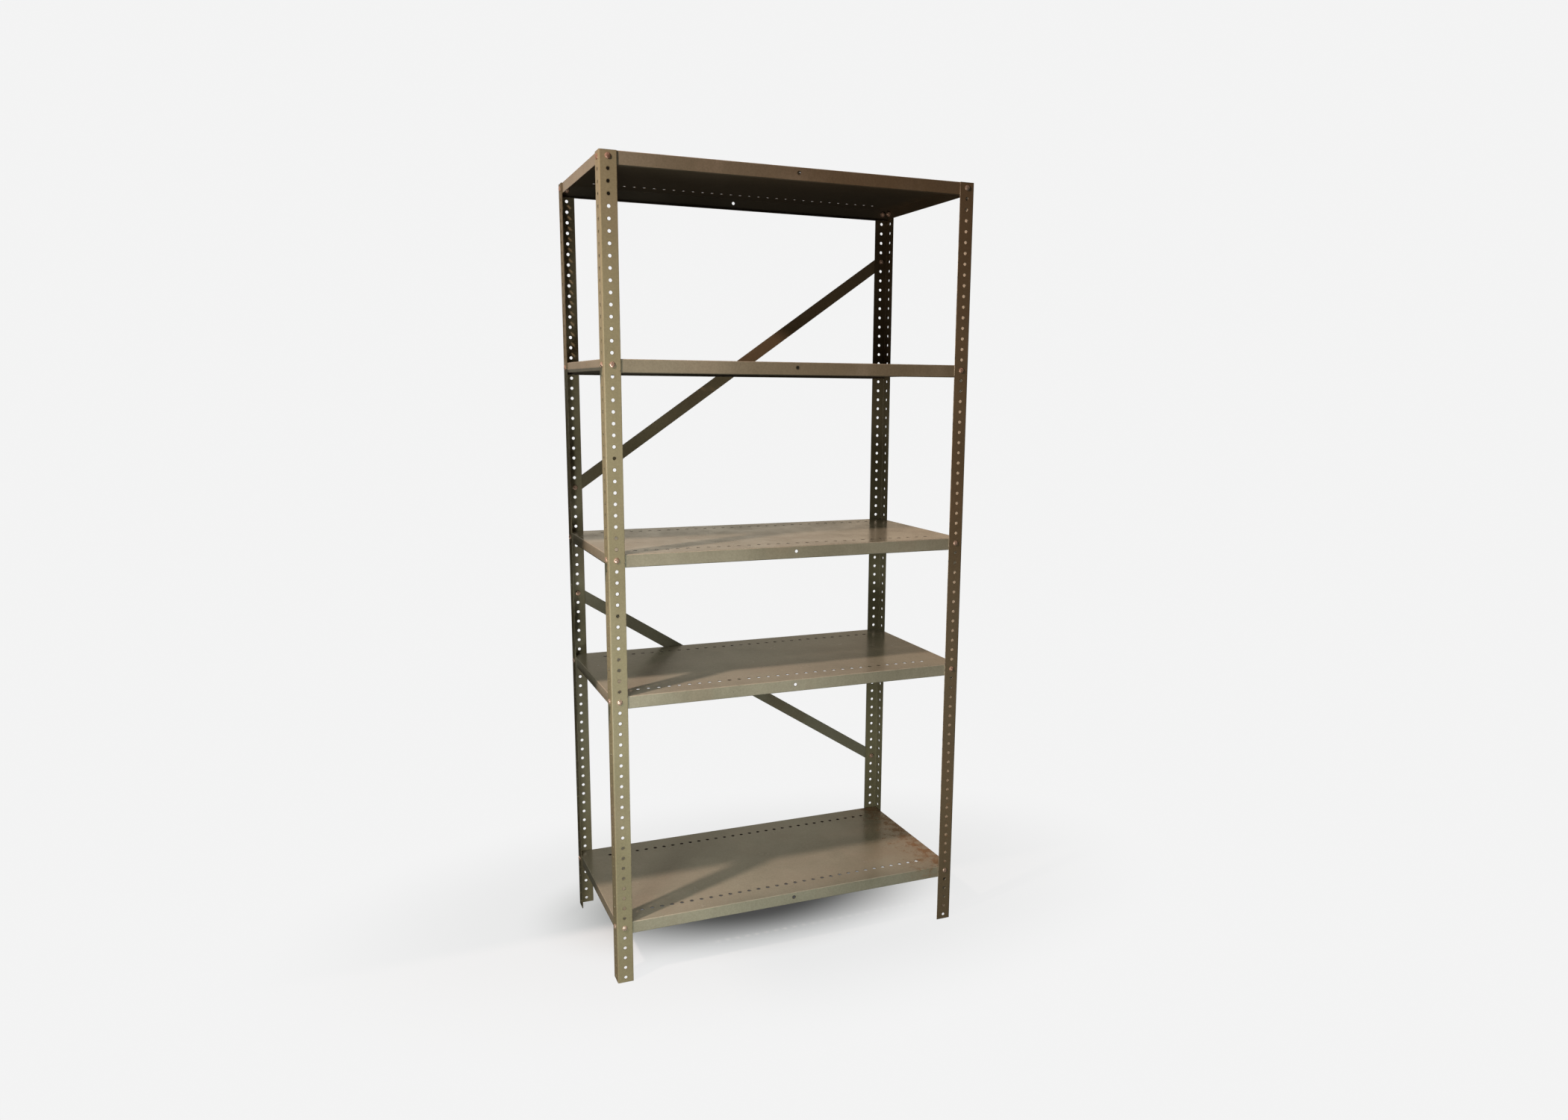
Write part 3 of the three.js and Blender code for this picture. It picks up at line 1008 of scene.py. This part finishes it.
def plating(name):
    """Copper-coloured plating on steel: dulled in patches, paler on some bolts, with rust spots."""
    g = Graph(bpy.data.materials.new(name))
    tarnish = g.span(g.noise(140, 6, rough=0.65), 0.4, 0.66)
    colour = g.mix(tarnish, PLATED, PLATED_DULL)
    bolt_by_bolt = g.span(g.noise(5.5, 1, shift=(3, 3, 7)), 0.4, 0.62)
    colour = g.mix(g.math("MULTIPLY", bolt_by_bolt, 0.6), colour, PLATED_PALE)
    spots = g.span(g.noise(520, 5, rough=0.7), 0.6, 0.68)
    colour = g.mix(g.math("MULTIPLY", spots, 0.8), colour, RUST)
    g.put(g.shader.inputs["Base Color"], colour)
    rough = g.math("ADD", g.span(tarnish, 0.0, 1.0, 0.26, 0.5), g.math("MULTIPLY", spots, 0.3))
    g.put(g.shader.inputs["Roughness"], rough)
    g.put(g.shader.inputs["Metallic"], g.span(spots, 0.0, 1.0, 0.6, 0.2))
    g.put(g.shader.inputs["Normal"], g.bump(g.noise(900, 4, rough=0.7), GRAIN_DEPTH))
    return g.owner


# ---------------------------------------------------------------- studio

def floor_material():
    """A pale floor that fades into the white of the studio and bounces little light back, with a
    painted shadow dark under the unit.
    """
    g = Graph(bpy.data.materials.new("studio_floor"))
    spot = g.add("ShaderNodeMapping", Vector=g.place(), Scale=SHADOW_POOL_SCALE, Location=SHADOW_POOL_SHIFT)
    away = g.add("ShaderNodeVectorMath", {"operation": "LENGTH"})
    g.put(away.inputs[0], spot.outputs[0])
    reach = away.outputs["Value"]
    glow = g.add("ShaderNodeEmission", Color=WHITE).outputs[0]
    # Painted shadow: dark under the unit, fading to the pale tone past the pool's edge.
    tone = g.mix(g.span(reach, 0.4, 1.1), FLOOR_SHADOW, FLOOR_FAR)
    pale = g.add("ShaderNodeBsdfDiffuse", Color=tone).outputs[0]
    dim = g.add("ShaderNodeBsdfDiffuse", Color=FLOOR_BOUNCE).outputs[0]
    share = g.math("ADD", g.span(reach, 0.5, 1.45, 0.07, 0.88), g.span(reach, 1.2, 3.0, 0.0, 0.12))
    g.surface(g.mixed(g.camera_ray(), dim, g.mixed(share, pale, glow)))
    return g.owner


def build_floor():
    corners = [(x * FLOOR_REACH, y * FLOOR_REACH, 0) for x, y in ((-1, -1), (1, -1), (1, 1), (-1, 1))]
    floor = mesh_object("studio_floor", corners, [(0, 1, 2, 3)])
    floor.data.materials.append(floor_material())


def build_world():
    """White to the camera. To the object it is a dim warm room with a wall that starts at the
    horizon, has a darker band above it and ends at mid height, brightest behind and right."""
    world = bpy.data.worlds.new("studio")
    bpy.context.scene.world = world
    g = Graph(world)
    split = g.add("ShaderNodeSeparateXYZ", Vector=g.add("ShaderNodeTexCoord").outputs["Generated"])
    rise = g.span(split.outputs["Z"], -0.02, 0.05, 0.0, 1.4)
    dip = g.math("ADD", g.span(split.outputs["Z"], 0.16, 0.24, 1.0, 0.18),
                 g.span(split.outputs["Z"], 0.3, 0.42, 0.0, 0.75))
    fall = g.span(split.outputs["Z"], 0.45, 0.8, 1.0, 0.0)
    behind = g.span(split.outputs["Y"], -0.3, 0.3, 0.1, 1.0)
    right = g.span(split.outputs["X"], -0.5, 0.2, 0.35, 1.0)
    wall = g.math("MULTIPLY", g.math("MULTIPLY", rise, dip), fall)
    wall = g.math("MULTIPLY", wall, g.math("MULTIPLY", behind, right))
    glossy = g.add("ShaderNodeLightPath").outputs["Is Glossy Ray"]
    strength = g.math("MULTIPLY", wall, g.span(glossy, 0, 1, *WALL))
    tint = g.mix(g.span(split.outputs["X"], 0.3, 0.55), WARM, WARMER)
    fill = g.add("ShaderNodeBackground", Color=tint, Strength=g.math("ADD", strength, FILL))
    seen = g.add("ShaderNodeBackground", Color=WHITE)
    g.surface(g.mixed(g.camera_ray(), fill.outputs[0], seen.outputs[0]))


def build_flag(name, left, right, front, back, z):
    """A level sheet that nothing sees, but that stops the lamps' light."""
    corners = [(left, front, z), (right, front, z), (right, back, z), (left, back, z)]
    flag = mesh_object(name, corners, [(0, 1, 2, 3)])
    flag.visible_camera = flag.visible_glossy = flag.visible_diffuse = False


def build_flags():
    """Those beside the left end keep the high lamp from shining in under the shelves, and the
    front one keeps the near lamp off what is above it."""
    left, right = -HALF_WIDTH - FLAG_REACH, -HALF_WIDTH - FLAG_GAP
    for level in range(2, 5):
        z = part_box(f"shelf_{level}")[1].z
        build_flag(f"side_flag_{level}", left, right, -SHELF_Y, SHELF_Y, z)
    build_flag("front_flag", *FRONT_FLAG)


def softbox(name, position, target, watts, colour, wide, tall):
    """An oval lamp that the camera doesn't see, aimed from its position at its target."""
    light = bpy.data.lights.new(name, "AREA")
    light.shape = "ELLIPSE"
    light.size = wide
    light.size_y = tall
    light.energy = watts
    light.color = colour
    ob = put_object(name, light)
    ob.location = position
    ob.rotation_euler = (Vector(target) - Vector(position)).to_track_quat("-Z", "Y").to_euler()
    ob.visible_camera = False
    return ob


def build_lights():
    """A high warm lamp and a near white one at the left, a low one in front, and one behind."""
    high = softbox("high_left", *HIGH_LAMP)
    softbox("near_left", *NEAR_LAMP)
    softbox("low_left", *LOW_LAMP)
    back = softbox("back_right", *BACK_LAMP)
    high.visible_glossy = back.visible_glossy = False


def build_camera():
    """A wide lens with a slight shift, a little above the middle and to the left."""
    camera = bpy.data.cameras.new("camera")
    camera.sensor_width = CAMERA_SENSOR
    camera.lens = CAMERA_LENS
    camera.shift_x, camera.shift_y = CAMERA_SHIFT
    ob = put_object("camera", camera)
    ob.location = CAMERA_PLACE
    ob.rotation_euler = Euler([math.radians(angle) for angle in CAMERA_TURN])
    bpy.context.scene.camera = ob


bpy.context.scene.view_settings.view_transform = "Standard"
build_camera()
build_world()
build_lights()
build_floor()
build_flags()
left = enamel("post_enamel_khaki", KHAKI, KHAKI_DARK, PINKISH, post_rust)
# The front right post's darker brown is partly painted shade.
right = enamel("post_enamel_brown", BROWN, BROWN_DARK, RUSTY, right_post_rust, low=BROWN_LOW,
               inner=KHAKI_PALE)
# The rear posts darken to a deep brown high up and to the right: painted shade.
rear = enamel("post_enamel_olive", OLIVE, OLIVE_DARK, BROWN, post_rust, BROWN_HIGH_SHADE)
build_posts({"front_left": left, "front_right": right, "rear_right": rear, "rear_left": rear})
# The decks: painted shade high up and to the right, below, and round their holes, and a painted
# highlight on their bends.
build_shelves(enamel("deck_enamel", DECK_LIGHT, DECK_DARK, DECK_WARM, deck_rust, BROWN, DUST,
                     gloss=(0.17, 0.25), rim_darkness=(0.6, 1.0)))
# The braces: paler and greyer low down, painted for the whiter light there, and painted shade high up
# and to the right.
build_braces(enamel("brace_enamel", OLIVE_DEEP, OLIVE_DARK, BROWN, post_rust, BROWN,
                    low=OLIVE_GREY))
build_bolts(plating("bolt_plating"))
